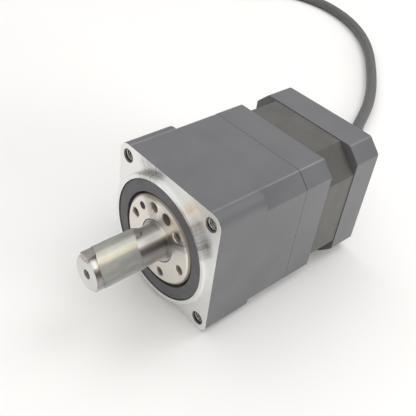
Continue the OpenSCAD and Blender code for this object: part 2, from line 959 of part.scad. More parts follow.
module tube(points, r, sides) {
    rings = len(points);
    corners = [for (i = [0:rings - 1])
        each ring_points(points[i], heading(points, i), r, sides)];
    walls = [for (i = [0:rings - 2], s = [0:sides - 1])
        let (n = (s + 1) % sides)
        [i * sides + s, i * sides + n, (i + 1) * sides + n, (i + 1) * sides + s]];
    start_cap = [[for (s = [0:sides - 1]) sides - 1 - s]];
    end_cap = [[for (s = [0:sides - 1]) (rings - 1) * sides + s]];
    polyhedron(points = corners, faces = concat(start_cap, walls, end_cap));
}

module motor_cable() {
    color("dimgray")
        tube(smooth(route, steps_per_span), cable_r, cable_sides);
}

// Children stand at the cable's end, with +Y leading on along the cable
module at_cable_end() {
    curve = smooth(route, steps_per_span);
    last = len(curve) - 1;
    way = curve[last] - curve[last - 1];
    translate(curve[last])
        rotate([0, 0, atan2(-way[0], way[1])])
            children();
}

contact_pitch = 4.2;
contact_columns = 4;

module contact_holes(r, y_front, length) {
    for (i = [0:contact_columns - 1], row = [-1, 1])
        translate([(i - (contact_columns - 1) / 2) * contact_pitch, y_front, row * contact_pitch / 2])
            rotate([-90, 0, 0])
                cylinder(h = length, r = r, $fn = small_fn);
}

module connector_housing() {
    lift = table_z - route[len(route) - 1][2];
    size = connector_size;
    color("whitesmoke")
        at_cable_end()
            difference() {
                translate([0, 0, lift + size[2] / 2])
                    union() {
                        translate([-size[0] / 2, 0.05, -size[2] / 2])
                            cube(size);
                        translate([-3, 4, size[2] / 2 - 0.01])
                            cube([6, 14, 1.6]);
                    }
                translate([0, 0, lift + size[2] / 2])
                    contact_holes(1.5, size[1] - 12, 13);
            }
}

module connector_contacts() {
    lift = table_z - route[len(route) - 1][2];
    size = connector_size;
    color("gold")
        at_cable_end()
            translate([0, 0, lift + size[2] / 2])
                difference() {
                    contact_holes(1.3, size[1] - 11.98, 10);
                    contact_holes(0.8, size[1] - 8, 13);
                }
}

// ---- The part ----------------------------------------------------------------------------------

gear_case();
output_seal();
seal_spring();
bearing_outer_ring();
bearing_retainer();
ring_gear();
ring_gear_pins();
case_o_ring();
front_bracket();
input_seal();
front_bearing_outer();
stator_core();
coil_bobbins();
stator_coils();
rear_cover();
rear_bearing_outer();
wave_washer();
terminal_board();
board_screws();
motor_screws();
cable_grommet();
motor_cable();
connector_housing();
connector_contacts();
output_flange();
output_shaft();
shaft_key();
shaft_film();
flange_plug();
bearing_inner_ring();
inner_ring_nut();
carrier_plate();
carrier_screws();
planet_pins();
planet_washers();
crossed_rollers();
planet_gear(0);  // planet_gear_1
planet_gear(1);  // planet_gear_2
planet_gear(2);  // planet_gear_3
planet_needles(0);  // planet_needles_1
planet_needles(1);  // planet_needles_2
planet_needles(2);  // planet_needles_3
sun_gear();
motor_shaft();
rotor_cup_front();
rotor_cup_rear();
rotor_magnet();
front_bearing_inner();
rear_bearing_inner();
front_bearing_balls();
bearing_cage(front_bearing);  // front_bearing_cage
rear_bearing_balls();
bearing_cage(rear_bearing);  // rear_bearing_cage
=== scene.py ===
"""Looks of the inline gear reducer with its stepping motor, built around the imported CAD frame.

The shared frame: the output shaft points along -Y, +Z is up, the origin is on the shaft's axis in the
plane of the mounting face, and the object lies on one side face at z = -30 mm.
"""
import json
import math

import bmesh
import bpy
from mathutils import Matrix, Vector
from mathutils import noise


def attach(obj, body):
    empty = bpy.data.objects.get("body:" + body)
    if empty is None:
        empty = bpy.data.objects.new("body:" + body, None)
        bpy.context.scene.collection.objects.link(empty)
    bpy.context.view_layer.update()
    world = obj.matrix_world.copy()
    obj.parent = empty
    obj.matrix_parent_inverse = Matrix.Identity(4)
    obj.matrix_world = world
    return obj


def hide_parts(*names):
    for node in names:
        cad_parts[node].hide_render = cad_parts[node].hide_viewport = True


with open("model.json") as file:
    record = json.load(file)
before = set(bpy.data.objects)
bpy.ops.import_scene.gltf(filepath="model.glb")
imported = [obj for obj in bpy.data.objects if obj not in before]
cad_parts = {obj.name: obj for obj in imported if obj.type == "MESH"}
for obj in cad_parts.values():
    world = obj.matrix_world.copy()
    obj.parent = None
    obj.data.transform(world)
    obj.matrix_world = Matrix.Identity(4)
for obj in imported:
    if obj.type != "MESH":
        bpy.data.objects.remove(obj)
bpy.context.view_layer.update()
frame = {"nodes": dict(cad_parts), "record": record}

MM = 0.001
CASE = "motor_and_case"
OUTPUT = "output"

# ---- Sizes, in millimetres, as the CAD has them ------------------------------------------------
hole_at = 24.75
hole_r = 2.5
hole_depth = 10.0
flange_face_y = -3.2
flange_circle_r = 15.0
flange_hole_r = 2.0
flange_hole_depth = 7.0
key_angle = 102.0
shaft_r = 7.5
key_top_r = 8.6
key_w = 5.0
shaft_tip_y = -35.2
rear_y = 91.4
seam_y = 45.5
half_w = 30.0
case_chamfer = 6.0
cable_z = -17.5
cable_d = 7.0
table_z = -30.0

# ---- Camera ------------------------------------------------------------------------------------
VIEW_AZIMUTH = 43.889
VIEW_ELEVATION = 39.355
VIEW_ROLL = 8.117
CAMERA_AT = (139.53, -121.98, 169.69)
FIELD_OF_VIEW = 36.41


def make_camera():
    azimuth = math.radians(VIEW_AZIMUTH)
    elevation = math.radians(VIEW_ELEVATION)
    roll = math.radians(VIEW_ROLL)
    back = Vector((
        math.cos(elevation) * math.sin(azimuth),
        -math.cos(elevation) * math.cos(azimuth),
        math.sin(elevation)))
    level = Vector((math.cos(azimuth), math.sin(azimuth), 0))
    above = back.cross(level)
    right = math.cos(roll) * level + math.sin(roll) * above
    up = -math.sin(roll) * level + math.cos(roll) * above
    data = bpy.data.cameras.new("camera")
    data.sensor_width = 36
    data.angle = math.radians(FIELD_OF_VIEW)
    data.clip_start = 0.01
    data.clip_end = 20
    camera = bpy.data.objects.new("camera", data)
    camera.matrix_world = Matrix.Translation(Vector(CAMERA_AT) * MM) @ Matrix((
        (right.x, up.x, back.x, 0), (right.y, up.y, back.y, 0), (right.z, up.z, back.z, 0),
        (0, 0, 0, 1)))
    bpy.context.scene.collection.objects.link(camera)
    bpy.context.scene.camera = camera
    bpy.context.scene.view_settings.view_transform = "Standard"


make_camera()


# ---- Mesh helpers ------------------------------------------------------------------------------

def new_piece(name, verts_mm, faces, body, slot, material, smooth=True):
    """A mesh piece from points in millimetres, which rides on a body."""
    mesh = bpy.data.meshes.new(name)
    mesh.from_pydata([Vector(v) * MM for v in verts_mm], [], faces)
    mesh.update()
    work = bmesh.new()
    work.from_mesh(mesh)
    bmesh.ops.recalc_face_normals(work, faces=work.faces)
    work.to_mesh(mesh)
    work.free()
    for polygon in mesh.polygons:
        polygon.use_smooth = smooth
    mesh.materials.append(material)
    piece = bpy.data.objects.new(name, mesh)
    bpy.context.scene.collection.objects.link(piece)
    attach(piece, body)
    return piece


def lofted(rings, closed_ends=True, closed_loop=False):
    """Vertices and faces of a tube through rings of equal length; a loop joins the last to the first."""
    count = len(rings[0])
    verts = [p for ring in rings for p in ring]
    faces = []
    for i in range(len(rings) if closed_loop else len(rings) - 1):
        here, there = i * count, (i + 1) % len(rings) * count
        for s in range(count):
            n = (s + 1) % count
            faces.append((here + s, here + n, there + n, there + s))
    if closed_ends and not closed_loop:
        faces.append(tuple(range(count)))
        faces.append(tuple((len(rings) - 1) * count + s for s in reversed(range(count))))
    return verts, faces


def merged(parts):
    """One list of vertices and faces from several."""
    verts, faces = [], []
    for part_verts, part_faces in parts:
        base = len(verts)
        verts.extend(part_verts)
        faces.extend(tuple(base + i for i in face) for face in part_faces)
    return verts, faces


def smooth_curve(points, steps):
    """The Catmull-Rom curve through the points, as the CAD draws it."""
    points = [Vector(p) for p in points]
    last = len(points) - 1
    curve = []
    for i in range(last):
        a, b = points[max(i - 1, 0)], points[i]
        c, d = points[i + 1], points[min(i + 2, last)]
        for s in range(steps):
            t = s / steps
            curve.append(0.5 * (
                2 * b + (c - a) * t + (2 * a - 5 * b + 4 * c - d) * t * t
                + (3 * b - a - 3 * c + d) * t ** 3))
    curve.append(points[last])
    return curve


# ---- Material helpers --------------------------------------------------------------------------

def color_ramp(tree, factor, stops):
    """A colour ramp's output; each stop is a place and a colour, or a grey level."""
    node = tree.nodes.new("ShaderNodeValToRGB")
    tree.links.new(factor, node.inputs[0])
    elements = node.color_ramp.elements
    while len(elements) < len(stops):
        elements.new(0.5)
    for element, (place, color) in zip(elements, stops):
        element.position = place
        element.color = (*color, 1) if isinstance(color, tuple) else (color, color, color, 1)
    return node.outputs[0]


class Nodes:
    """A new node material and short names for what is put in it."""

    def __init__(self, name):
        self.material = bpy.data.materials.new(name)
        self.material.use_nodes = True
        self.tree = self.material.node_tree
        self.shader = self.tree.nodes["Principled BSDF"]
        self.where = self.tree.nodes.new("ShaderNodeTexCoord").outputs["Object"]

    def link(self, source, target):
        if isinstance(source, (int, float)):
            target.default_value = source
        elif isinstance(source, tuple):
            target.default_value = (*source, 1)[:len(target.default_value)]
        else:
            self.tree.links.new(source, target)

    def set(self, **values):
        for name, value in values.items():
            self.link(value, self.shader.inputs[name.replace("_", " ")])

    def math(self, operation, a, b=0.0, clamp=False):
        node = self.tree.nodes.new("ShaderNodeMath")
        node.operation = operation
        node.use_clamp = clamp
        self.link(a, node.inputs[0])
        self.link(b, node.inputs[1])
        return node.outputs[0]

    def axes(self, vector=None):
        node = self.tree.nodes.new("ShaderNodeSeparateXYZ")
        self.link(vector or self.where, node.inputs[0])
        return node.outputs

    def vector(self, x, y, z):
        node = self.tree.nodes.new("ShaderNodeCombineXYZ")
        for value, socket in zip((x, y, z), node.inputs):
            self.link(value, socket)
        return node.outputs[0]

    def scaled(self, x, y, z):
        node = self.tree.nodes.new("ShaderNodeVectorMath")
        node.operation = "MULTIPLY"
        self.link(self.where, node.inputs[0])
        node.inputs[1].default_value = (x, y, z)
        return node.outputs[0]

    def radius(self):
        """Distance from the shaft's axis, in metres."""
        x, _, z = self.axes()
        return self.math("SQRT", self.math("ADD", self.math("MULTIPLY", x, x),
                                           self.math("MULTIPLY", z, z)))

    def sector(self, middle, half):
        """1 along a direction about the shaft's axis, in degrees, falling to 0 on both sides."""
        x, _, z = self.axes()
        off = self.math("SUBTRACT", self.math("ARCTAN2", z, x), math.radians(middle))
        near = self.math("SUBTRACT", 1.0, self.math(
            "DIVIDE", self.math("ABSOLUTE", off), math.radians(half)), clamp=True)
        return self.math("MULTIPLY", near, self.math("SUBTRACT", 2.0, near))

    def noise(self, scale, detail=3.0, roughness=0.5, vector=None):
        node = self.tree.nodes.new("ShaderNodeTexNoise")
        self.link(vector or self.where, node.inputs["Vector"])
        node.inputs["Scale"].default_value = scale
        node.inputs["Detail"].default_value = detail
        node.inputs["Roughness"].default_value = roughness
        return node.outputs["Fac"]

    def ramp(self, factor, stops):
        return color_ramp(self.tree, factor, stops)

    def mix(self, factor, a, b):
        node = self.tree.nodes.new("ShaderNodeMix")
        node.data_type = "RGBA"
        self.link(factor, node.inputs[0])
        self.link(a, node.inputs[6])
        self.link(b, node.inputs[7])
        return node.outputs[2]

    def blend(self, factor, a, b):
        node = self.tree.nodes.new("ShaderNodeMix")
        self.link(factor, node.inputs[0])
        self.link(a, node.inputs[2])
        self.link(b, node.inputs[3])
        return node.outputs[0]

    def bump(self, height, distance_mm, strength=1.0):
        node = self.tree.nodes.new("ShaderNodeBump")
        node.inputs["Strength"].default_value = strength
        node.inputs["Distance"].default_value = distance_mm * MM
        self.link(height, node.inputs["Height"])
        self.link(node.outputs[0], self.shader.inputs["Normal"])

    def tangent_about_axis(self):
        node = self.tree.nodes.new("ShaderNodeTangent")
        node.direction_type = "RADIAL"
        node.axis = "Y"
        self.link(node.outputs[0], self.shader.inputs["Tangent"])


def painted_reflection_fans(n, base, marks):
    """Painted reflections that a turned face shows: radial dark, gold and brown fans, each along its
    direction.
    """
    x, _, z = n.axes()
    angle = n.math("ARCTAN2", z, x)
    rays = n.noise(1.0, 4, 0.65, n.vector(n.math("MULTIPLY", angle, 22), 0.3, 0))
    strength_by_ray = n.ramp(rays, [(0.34, 0.25), (0.62, 1.0)])
    color = base
    for middle, half, reach, strength, tint in (
            (109, 16, 36, 0.80, (0.13, 0.125, 0.115)), (60, 7, 33.5, 0.60, (0.80, 0.56, 0.30)),
            (46, 10, 32, 0.75, (0.33, 0.235, 0.20)), (31, 12, 31, 1.0, (0.11, 0.095, 0.10)),
            (-112, 20, 36, 0.30, (0.30, 0.29, 0.28))):
        outward = n.math("DIVIDE", n.math("SUBTRACT", reach * MM, n.radius()), 4 * MM, clamp=True)
        painted_fan = n.math("MULTIPLY", n.math("MULTIPLY", n.sector(middle, half), outward), n.ramp(
            marks, [(0.3, strength), (0.8, 0.45 * strength)]))
        color = n.mix(n.math("MULTIPLY", painted_fan, strength_by_ray), color, tint)
    return color


def paint():
    """Satin grey paint on the castings; the gear case's front face and its holes are bare metal."""
    n = Nodes("case_paint")
    x, y, z = n.axes()
    mottle = n.noise(60, 4)
    specks = n.noise(1500, 1)
    color = n.ramp(mottle, [(0.3, (0.118, 0.120, 0.128)), (0.7, (0.140, 0.141, 0.148))])
    dust = n.ramp(specks, [(0.76, 0.0), (0.80, 0.35)])
    painted = n.mix(dust, color, (0.34, 0.33, 0.32))
    # painted highlight: thin light lines along the long edges of the corner flats, where their rounded
    # edges would catch the light
    edge_x = n.math("SUBTRACT", n.math("ABSOLUTE", x), (half_w - case_chamfer) * MM)
    edge_z = n.math("SUBTRACT", n.math("ABSOLUTE", z), half_w * MM)
    from_edge = n.math("SQRT", n.math("ADD", n.math("MULTIPLY", edge_x, edge_x),
                                      n.math("MULTIPLY", edge_z, edge_z)))
    painted_edge_highlight = n.ramp(n.math("DIVIDE", from_edge, 1.0 * MM, clamp=True), [(0.18, 0.5), (0.55, 0.0)])
    painted = n.mix(n.math("MULTIPLY", painted_edge_highlight, mottle), painted, (0.42, 0.42, 0.43))
    # painted shade: a near-black band along the seam between the gear case and the front bracket, for
    # the shade in the joint
    off_seam = n.math("ABSOLUTE", n.math("SUBTRACT", y, seam_y * MM))
    painted = n.mix(n.math("LESS_THAN", off_seam, 0.13 * MM), painted, (0.05, 0.05, 0.052))
    # turned face: circles about the shaft's axis
    from_axis = n.radius()
    circles = n.noise(1.0, 6, 0.65, n.vector(n.math("MULTIPLY", from_axis, 2600), 0, 0))
    # painted reflection: dark, gold and brown fans over the turned face
    face = painted_reflection_fans(n, n.ramp(circles, [(0.3, (0.80, 0.80, 0.785)), (0.7, (0.95, 0.95, 0.935))]), circles)
    # the corner holes: bare metal at the edge, then a painted shade on the wall inside
    hole_x = n.math("SUBTRACT", n.math("ABSOLUTE", x), hole_at * MM)
    hole_z = n.math("SUBTRACT", n.math("ABSOLUTE", z), hole_at * MM)
    from_hole = n.math("SQRT", n.math("ADD", n.math("MULTIPLY", hole_x, hole_x),
                                      n.math("MULTIPLY", hole_z, hole_z)))
    near_hole = n.math("MULTIPLY", n.math("LESS_THAN", from_hole, 3.4 * MM),
                       n.math("LESS_THAN", y, (hole_depth + 2) * MM))
    hole_wall_shade = n.math("MULTIPLY", near_hole, n.math("GREATER_THAN", y, 0.06 * MM))
    bare = n.mix(hole_wall_shade, face, (0.18, 0.17, 0.165))
    is_bare = n.math("MAXIMUM", near_hole, n.math("LESS_THAN", y, 0.03 * MM))
    n.set(
        Base_Color=n.mix(is_bare, painted, bare),
        Metallic=is_bare,
        Roughness=n.blend(is_bare, n.ramp(n.noise(900, 2), [(0.3, 0.30), (0.7, 0.40)]),
                          n.ramp(circles, [(0.3, 0.26), (0.7, 0.40)])),
    )
    n.shader.inputs["Anisotropic"].default_value = 0.6
    n.tangent_about_axis()
    grain = n.math("MULTIPLY", n.noise(1400, 2), n.math("SUBTRACT", 1.0, is_bare))
    rings = n.math("MULTIPLY", circles, n.math("MULTIPLY", is_bare, 0.6))
    n.bump(n.math("ADD", grain, rings), 0.02)
    return n.material


def turned_steel(name, dark, light, rough, holes_behind=None):
    """Bare turned steel, with fine rings about the shaft's axis.

    holes_behind is the depth in millimetres from which the walls of a flange's holes are dark, a painted
    shade; with it, painted reflection fans are laid on the face too.
    """
    n = Nodes(name)
    _, y, _ = n.axes()
    marks = n.noise(1.0, 6, 0.65, n.vector(n.math("MULTIPLY", n.radius(), 2600), 0, 0))
    stain = n.noise(120, 3)
    color = n.mix(n.ramp(stain, [(0.35, 0.0), (0.75, 0.5)]),
                  n.ramp(marks, [(0.3, dark), (0.7, light)]), dark)
    if holes_behind is not None:
        # painted reflection: dark, gold and brown fans over the flange's face
        color = painted_reflection_fans(n, color, marks)
        # painted shade: the walls of the flange's holes, and all that lies deeper than holes_behind, are
        # dark and less metallic
        hole_shade = n.math("GREATER_THAN", y, holes_behind * MM)
        color = n.mix(hole_shade, color, (0.36, 0.31, 0.26))
    n.set(
        Base_Color=color,
        Metallic=1.0 if holes_behind is None else n.blend(hole_shade, 1.0, 0.35),
        Roughness=n.ramp(marks, [(0.3, rough - 0.05), (0.7, rough + 0.07)]),
    )
    n.shader.inputs["Anisotropic"].default_value = 0.5
    n.tangent_about_axis()
    n.bump(marks, 0.004)
    return n.material


def shaft_with_painted_reflections():
    """A ground shaft with painted reflections: long bright, grey and brown streaks, each along its own
    side of the shaft.
    """
    n = Nodes("shaft_steel")
    x, y, z = n.axes()
    angle = n.math("ARCTAN2", z, x)
    turn = n.math("DIVIDE", n.math("ADD", angle, math.radians(60)), math.radians(240), clamp=True)
    # painted reflection: bright, grey and dark brown bands by angle about the shaft's axis
    streaks_and_painted_reflection = n.ramp(turn, [
        (0.0, (0.62, 0.60, 0.58)), (0.14, (0.60, 0.58, 0.56)), (0.22, (0.28, 0.27, 0.265)),
        (0.30, (0.33, 0.32, 0.31)), (0.345, (0.22, 0.205, 0.19)), (0.375, (0.070, 0.058, 0.050)),
        (0.42, (0.085, 0.068, 0.056)), (0.45, (0.36, 0.29, 0.235)), (0.485, (0.97, 0.95, 0.91)),
        (0.545, (0.93, 0.91, 0.88)), (0.585, (0.48, 0.47, 0.455)), (0.64, (0.34, 0.33, 0.32)),
        (0.70, (0.24, 0.24, 0.235)), (0.77, (0.42, 0.42, 0.41)), (0.86, (0.55, 0.54, 0.53)),
        (1.0, (0.62, 0.60, 0.58))])
    grind = n.noise(1.0, 5, 0.6, n.vector(n.math("MULTIPLY", angle, 60), n.math("MULTIPLY", y, 70), 0))
    marks = n.noise(1.0, 6, 0.65, n.vector(n.math("MULTIPLY", y, 4200), 0, 0))
    color = n.mix(n.ramp(grind, [(0.35, 0.0), (0.7, 0.35)]), streaks_and_painted_reflection, (0.45, 0.435, 0.42))
    # the turned end face
    on_tip = n.math("LESS_THAN", y, (shaft_tip_y + 0.05) * MM)
    circles = n.noise(1.0, 6, 0.65, n.vector(n.math("MULTIPLY", n.radius(), 3200), 0, 0))
    end_face = n.ramp(circles, [(0.3, (0.60, 0.595, 0.58)), (0.7, (0.80, 0.79, 0.77))])
    color = n.mix(on_tip, color, end_face)
    # painted shade: the walls of the centre hole in the end face are dark
    centre_hole_shade = n.math("LESS_THAN", n.radius(), 2.4 * MM)
    centre_hole_shade = n.math("MULTIPLY", centre_hole_shade, n.math("SUBTRACT", 1.0, on_tip))
    color = n.mix(centre_hole_shade, color, (0.20, 0.192, 0.185))
    n.set(
        Base_Color=color,
        Metallic=n.blend(on_tip, 0.5, 0.9),
        Roughness=n.ramp(marks, [(0.3, 0.34), (0.7, 0.46)]),
    )
    n.shader.inputs["Anisotropic"].default_value = 0.5
    n.tangent_about_axis()
    n.bump(marks, 0.004)
    return n.material


def plain_metal(name, dark, light, rough, metallic=1.0):
    """Metal without a grain of its own: a mottled colour and a slightly uneven surface."""
    n = Nodes(name)
    mottle = n.noise(400, 4, 0.6)
    n.set(
        Base_Color=n.ramp(mottle, [(0.3, dark), (0.7, light)]),
        Metallic=metallic,
        Roughness=n.ramp(n.noise(900, 3), [(0.3, rough - 0.05), (0.7, rough + 0.08)]),
    )
    n.bump(n.noise(2500, 3), 0.01)
    return n.material


def moulded(name, dark, light, rough, grain_mm=0.015):
    """Rubber or plastic: a fine grain and slight clouding."""
    n = Nodes(name)
    n.set(
        Base_Color=n.ramp(n.noise(250, 4), [(0.3, dark), (0.7, light)]),
        Roughness=n.ramp(n.noise(1200, 3), [(0.3, rough - 0.06), (0.7, rough + 0.06)]),
    )
    n.bump(n.noise(3500, 3), grain_mm)
    return n.material


def lamination_stack():
    """Sheet edges across the motor's length, under a thin brownish varnish."""
    n = Nodes("laminations")
    _, y, _ = n.axes()
    sheets = n.math("MULTIPLY", y, 1 / (0.5 * MM))
    groove = n.math("PINGPONG", sheets, 0.5)
    per_sheet = n.noise(1.0, 0, 0.5, n.vector(n.math("MULTIPLY", n.math("FLOOR", sheets), 7.3), 0, 0))
    stain = n.noise(90, 4)
    base = n.ramp(stain, [(0.3, (0.118, 0.114, 0.107)), (0.75, (0.148, 0.143, 0.135))])
    n.set(
        Base_Color=n.mix(n.math("MULTIPLY", per_sheet, 0.25), base, (0.10, 0.095, 0.087)),
        Metallic=0.35,
        Roughness=n.ramp(per_sheet, [(0.3, 0.42), (0.7, 0.54)]),
    )
    n.bump(n.ramp(groove, [(0.0, 0.0), (0.12, 1.0)]), 0.02)
    return n.material


def clear_film():
    """Thin milky film: grey-green with yellow creases, with a painted highlight on one warm bright side
    and painted reflections of the shaft's bands around it.
    """
    n = Nodes("film")
    x, _, z = n.axes()
    turn = n.math("DIVIDE", n.math("ADD", n.math("ARCTAN2", z, x), math.radians(60)),
                  math.radians(240), clamp=True)
    streaks_and_painted_reflection = n.noise(1.0, 3, 0.5, n.scaled(240, 45, 240))
    wave = n.math("ADD", turn, n.math("MULTIPLY", n.math("SUBTRACT", streaks_and_painted_reflection, 0.5), 0.10))
    # painted highlight and painted reflection: light, dark and warm bright bands by angle about the
    # shaft's axis
    side = n.ramp(wave, [
        (0.0, (0.60, 0.59, 0.565)), (0.15, (0.50, 0.495, 0.475)), (0.25, (0.30, 0.30, 0.285)),
        (0.40, (0.31, 0.315, 0.30)), (0.46, (0.40, 0.40, 0.36)), (0.50, (0.80, 0.74, 0.54)),
        (0.55, (0.86, 0.83, 0.72)), (0.60, (0.62, 0.62, 0.56)), (0.66, (0.36, 0.375, 0.355)),
        (0.80, (0.37, 0.385, 0.365)), (1.0, (0.60, 0.59, 0.565))])
    n.set(
        Base_Color=n.mix(n.ramp(streaks_and_painted_reflection, [(0.55, 0.0), (0.72, 0.4)]), side, (0.66, 0.61, 0.43)),
        Roughness=n.ramp(streaks_and_painted_reflection, [(0.3, 0.22), (0.7, 0.36)]),
        Alpha=n.ramp(n.noise(90, 3), [(0.3, 0.50), (0.7, 0.66)]),
    )
    n.shader.inputs["Specular IOR Level"].default_value = 0.6
    n.bump(streaks_and_painted_reflection, 0.16)
    return n.material


MATERIALS = {
    "case_paint": paint(),
    "flange_steel": turned_steel("flange_steel", (0.76, 0.725, 0.675), (0.88, 0.845, 0.785), 0.32,
                                 holes_behind=flange_face_y + 0.5),
    "shaft_steel": shaft_with_painted_reflections(),
    "key_steel": plain_metal("key_steel", (0.36, 0.33, 0.31), (0.50, 0.465, 0.44), 0.34),
    "film": clear_film(),
    "seal_rubber": moulded("seal_rubber", (0.096, 0.096, 0.101), (0.122, 0.121, 0.125), 0.50),
    "laminations": lamination_stack(),
    "bearing_steel": turned_steel("bearing_steel", (0.58, 0.58, 0.59), (0.68, 0.68, 0.69), 0.2),
    "gear_steel": plain_metal("gear_steel", (0.30, 0.30, 0.31), (0.42, 0.42, 0.43), 0.36),
    "screw_steel": plain_metal("screw_steel", (0.030, 0.030, 0.032), (0.055, 0.055, 0.058), 0.42),
    "spring_steel": plain_metal("spring_steel", (0.48, 0.48, 0.50), (0.60, 0.60, 0.62), 0.28),
    "bronze": plain_metal("bronze", (0.42, 0.27, 0.11), (0.55, 0.36, 0.16), 0.40),
    "magnet": plain_metal("magnet", (0.07, 0.07, 0.075), (0.11, 0.11, 0.115), 0.55),
    "bobbin_plastic": moulded("bobbin_plastic", (0.58, 0.56, 0.48), (0.66, 0.64, 0.56), 0.5),
    "copper_wire": plain_metal("copper_wire", (0.38, 0.12, 0.04), (0.52, 0.19, 0.07), 0.34),
    "board": moulded("board", (0.015, 0.11, 0.035), (0.025, 0.15, 0.05), 0.4),
    "cable_jacket": moulded("cable_jacket", (0.094, 0.094, 0.095), (0.116, 0.116, 0.116), 0.50),
    "connector_plastic": moulded("connector_plastic", (0.62, 0.62, 0.57), (0.70, 0.70, 0.65), 0.42),
    "contact_brass": plain_metal("contact_brass", (0.52, 0.39, 0.15), (0.66, 0.51, 0.22), 0.28),
    "thread_metal": plain_metal("thread_metal", (0.58, 0.55, 0.53), (0.78, 0.75, 0.72), 0.28),
    "cage_plastic": moulded("cage_plastic", (0.34, 0.27, 0.15), (0.42, 0.34, 0.20), 0.5),
}

for part in frame["record"]["subparts"]:
    node = frame["nodes"][part["node"]]
    node.data.materials.clear()
    node.data.materials.append(MATERIALS[part["material_slot"]])


# ---- Broken edges on the carried-over parts ----------------------------------------------------

def sharp_by_angle(limit):
    """A modifier's node group that shades smooth and keeps the edges over the limit sharp."""
    group = bpy.data.node_groups.new("sharp_by_angle", "GeometryNodeTree")
    group.interface.new_socket("Geometry", in_out="INPUT", socket_type="NodeSocketGeometry")
    group.interface.new_socket("Geometry", in_out="OUTPUT", socket_type="NodeSocketGeometry")
    start = group.nodes.new("NodeGroupInput")
    end = group.nodes.new("NodeGroupOutput")
    angle = group.nodes.new("GeometryNodeInputMeshEdgeAngle")
    over = group.nodes.new("FunctionNodeCompare")
    over.operation = "GREATER_THAN"
    over.inputs[1].default_value = limit
    faces = group.nodes.new("GeometryNodeSetShadeSmooth")
    edges = group.nodes.new("GeometryNodeSetShadeSmooth")
    faces.domain = "FACE"
    faces.inputs["Shade Smooth"].default_value = True
    edges.domain = "EDGE"
    edges.inputs["Shade Smooth"].default_value = False
    group.links.new(start.outputs[0], faces.inputs["Geometry"])
    group.links.new(faces.outputs[0], edges.inputs["Geometry"])
    group.links.new(angle.outputs["Unsigned Angle"], over.inputs[0])
    group.links.new(over.outputs[0], edges.inputs["Selection"])
    group.links.new(edges.outputs[0], end.inputs[0])
    return group


SHARP = sharp_by_angle(math.radians(38))


def soften(node_name, width_mm, segments=3):
    """Round the sharp edges of a carried-over part, as tumbling or paint does."""
    node = frame["nodes"][node_name]
    weld = node.modifiers.new("weld", "WELD")
    weld.merge_threshold = 0.001 * MM
    flat = node.modifiers.new("flat", "DECIMATE")
    flat.decimate_type = "DISSOLVE"
    flat.angle_limit = math.radians(0.3)
    bevel = node.modifiers.new("bevel", "BEVEL")
    bevel.width = width_mm * MM
    bevel.segments = segments
    bevel.limit_method = "ANGLE"
    bevel.angle_limit = math.radians(30)
    bevel.use_clamp_overlap = True
    node.modifiers.new("sharp", "NODES").node_group = SHARP
    normals = node.modifiers.new("normals", "WEIGHTED_NORMAL")
    normals.keep_sharp = True


for node_name, width in (
        ("gear_case", 0.3), ("front_bracket", 0.3), ("rear_cover", 0.7), ("stator_core", 0.1),
        ("output_flange", 0.12), ("output_shaft", 0.1), ("shaft_key", 0.15), ("motor_screws", 0.15),
        ("output_seal", 0.15), ("connector_housing", 0.35)):
    soften(node_name, width)


# ---- Motor cable and its connector -------------------------------------------------------------

ROUTE = [
    (0, 89, -17.5), (0, 97, -17.5), (0, 105, -17.6), (-1, 113, -18.6), (-3, 121, -20.5),
    (-6, 129, -22.8), (-10, 137.5, -24.8), (-14, 146, -26), (-19, 155, -26.5), (-24, 163.5, -26.5),
    (-29.5, 171.5, -26.5), (-34.5, 179.5, -26.5), (-40, 191, -26.5), (-47, 205, -26.5),
    (-55.5, 219, -26.5), (-65, 232.5, -26.5), (-78, 249, -26.5), (-95, 268.5, -26.5),
    (-113, 285, -26.5), (-133, 298, -26.5), (-155, 306.5, -26.5), (-178, 309, -26.5),
    (-199, 304, -26.5), (-215, 293, -26.5), (-225, 279, -26.5),
]


def ring_about(centre, along, radius, sides):
    across = along.cross(Vector((0, 0, 1))).normalized()
    above = across.cross(along)
    return [
        centre + radius * (math.cos(2 * math.pi * s / sides) * across
                           + math.sin(2 * math.pi * s / sides) * above)
        for s in range(sides)]


def lathe_along(profile, place, sides=64):
    """Rings of [radius, distance] points about a line through place that leads along +Y or a heading."""
    origin, heading = place
    heading = heading.normalized()
    return [ring_about(origin + heading * reach, heading, radius, sides) for radius, reach in profile]


def ribbed_profile(inner, outer_start, outer_end, length, ribs):
    """A tapered sleeve with grooves round it, from its base to its rounded tip."""
    profile = [(inner, 0.0), (outer_start, 0.0)]
    step = length / (ribs + 0.8)
    for i in range(ribs):
        at = step * (i + 0.8)
        wide = outer_start + (outer_end - outer_start) * at / length
        narrow = wide - 0.75
        for share, radius in ((-0.30, wide), (-0.24, wide - 0.12), (-0.18, narrow), (0.18, narrow),
                              (0.24, wide - 0.15), (0.30, wide - 0.03)):
            profile.append((radius, at + share * step))
    profile += [(outer_end, length - 0.5), (outer_end - 0.15, length - 0.15),
                (outer_end - 0.4, length), (inner, length)]
    return profile


def make_boot():
    """The ribbed rubber boot where the cable leaves the rear cover, with its flange on both sides."""
    inner = cable_d / 2 + 0.05
    wall = 2.6  # thickness of the cover that the boot's groove grips
    boot = [(inner, -wall - 1.2), (5.8, -wall - 1.2), (6.0, -wall - 1.0), (6.0, -wall - 0.02),
            (5.18, -wall - 0.02), (5.18, 0.02), (6.2, 0.02), (6.4, 0.22), (6.4, 1.3), (6.2, 1.6)]
    boot += [(r, y + 1.6) for r, y in ribbed_profile(inner, 5.5, 4.4, 10.4, 4)[1:]]
    rings = lathe_along(boot, (Vector((0, rear_y, cable_z)), Vector((0, 1, 0))))
    piece = new_piece("cable_boot", *lofted(rings, closed_loop=True), CASE, "seal_rubber",
                      MATERIALS["seal_rubber"])
    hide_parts("cable_grommet")
    return piece


